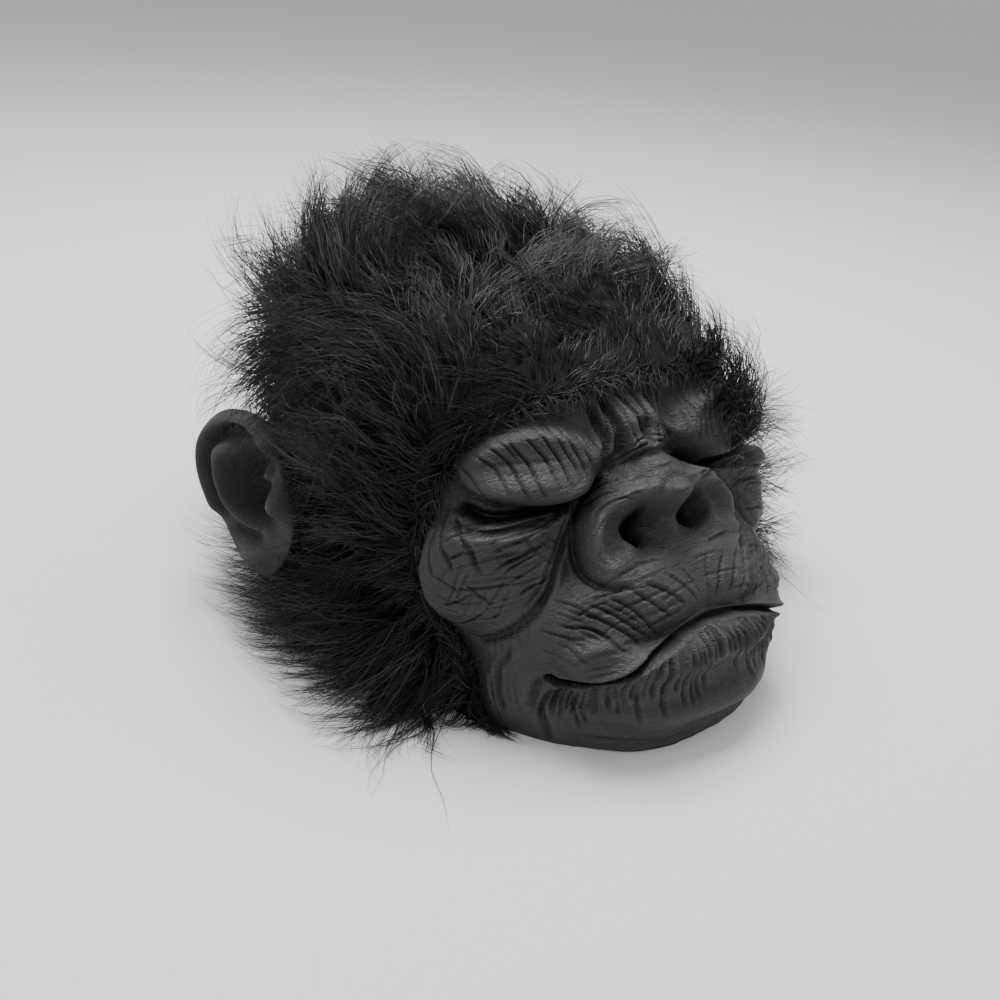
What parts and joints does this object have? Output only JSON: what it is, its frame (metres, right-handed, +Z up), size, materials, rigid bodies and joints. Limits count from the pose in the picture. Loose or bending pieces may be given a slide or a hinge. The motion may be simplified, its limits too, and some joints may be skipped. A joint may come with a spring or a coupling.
{
  "type": "gorilla mask",
  "caption": "Over-the-head gorilla mask: a leaning moulded latex face with creased brow, nose, muzzle and chin, latex ears, and a deep dark fur hood open at the neck",
  "frame": {"origin": "centre of the footprint on the surface it rests on", "axes": "+Z up; the face looks along -Y and leans back; its own left is +X; X = 0 is the plane of symmetry"},
  "size_m": [0.2718, 0.3324, 0.181],
  "materials": {
    "latex_face": "matte charcoal moulded latex",
    "hood_backing": "matt black knitted cloth",
    "fur_hood": "near-black faux fur",
    "ear_right": "matte charcoal moulded latex",
    "ear_left": "matte charcoal moulded latex"
  },
  "bodies": {
    "root": {"latex_face": "latex_face", "hood_backing": "hood_backing", "fur_hood": "fur_hood", "ear_right": "ear_right", "ear_left": "ear_left"}
  },
  "joints": []
}
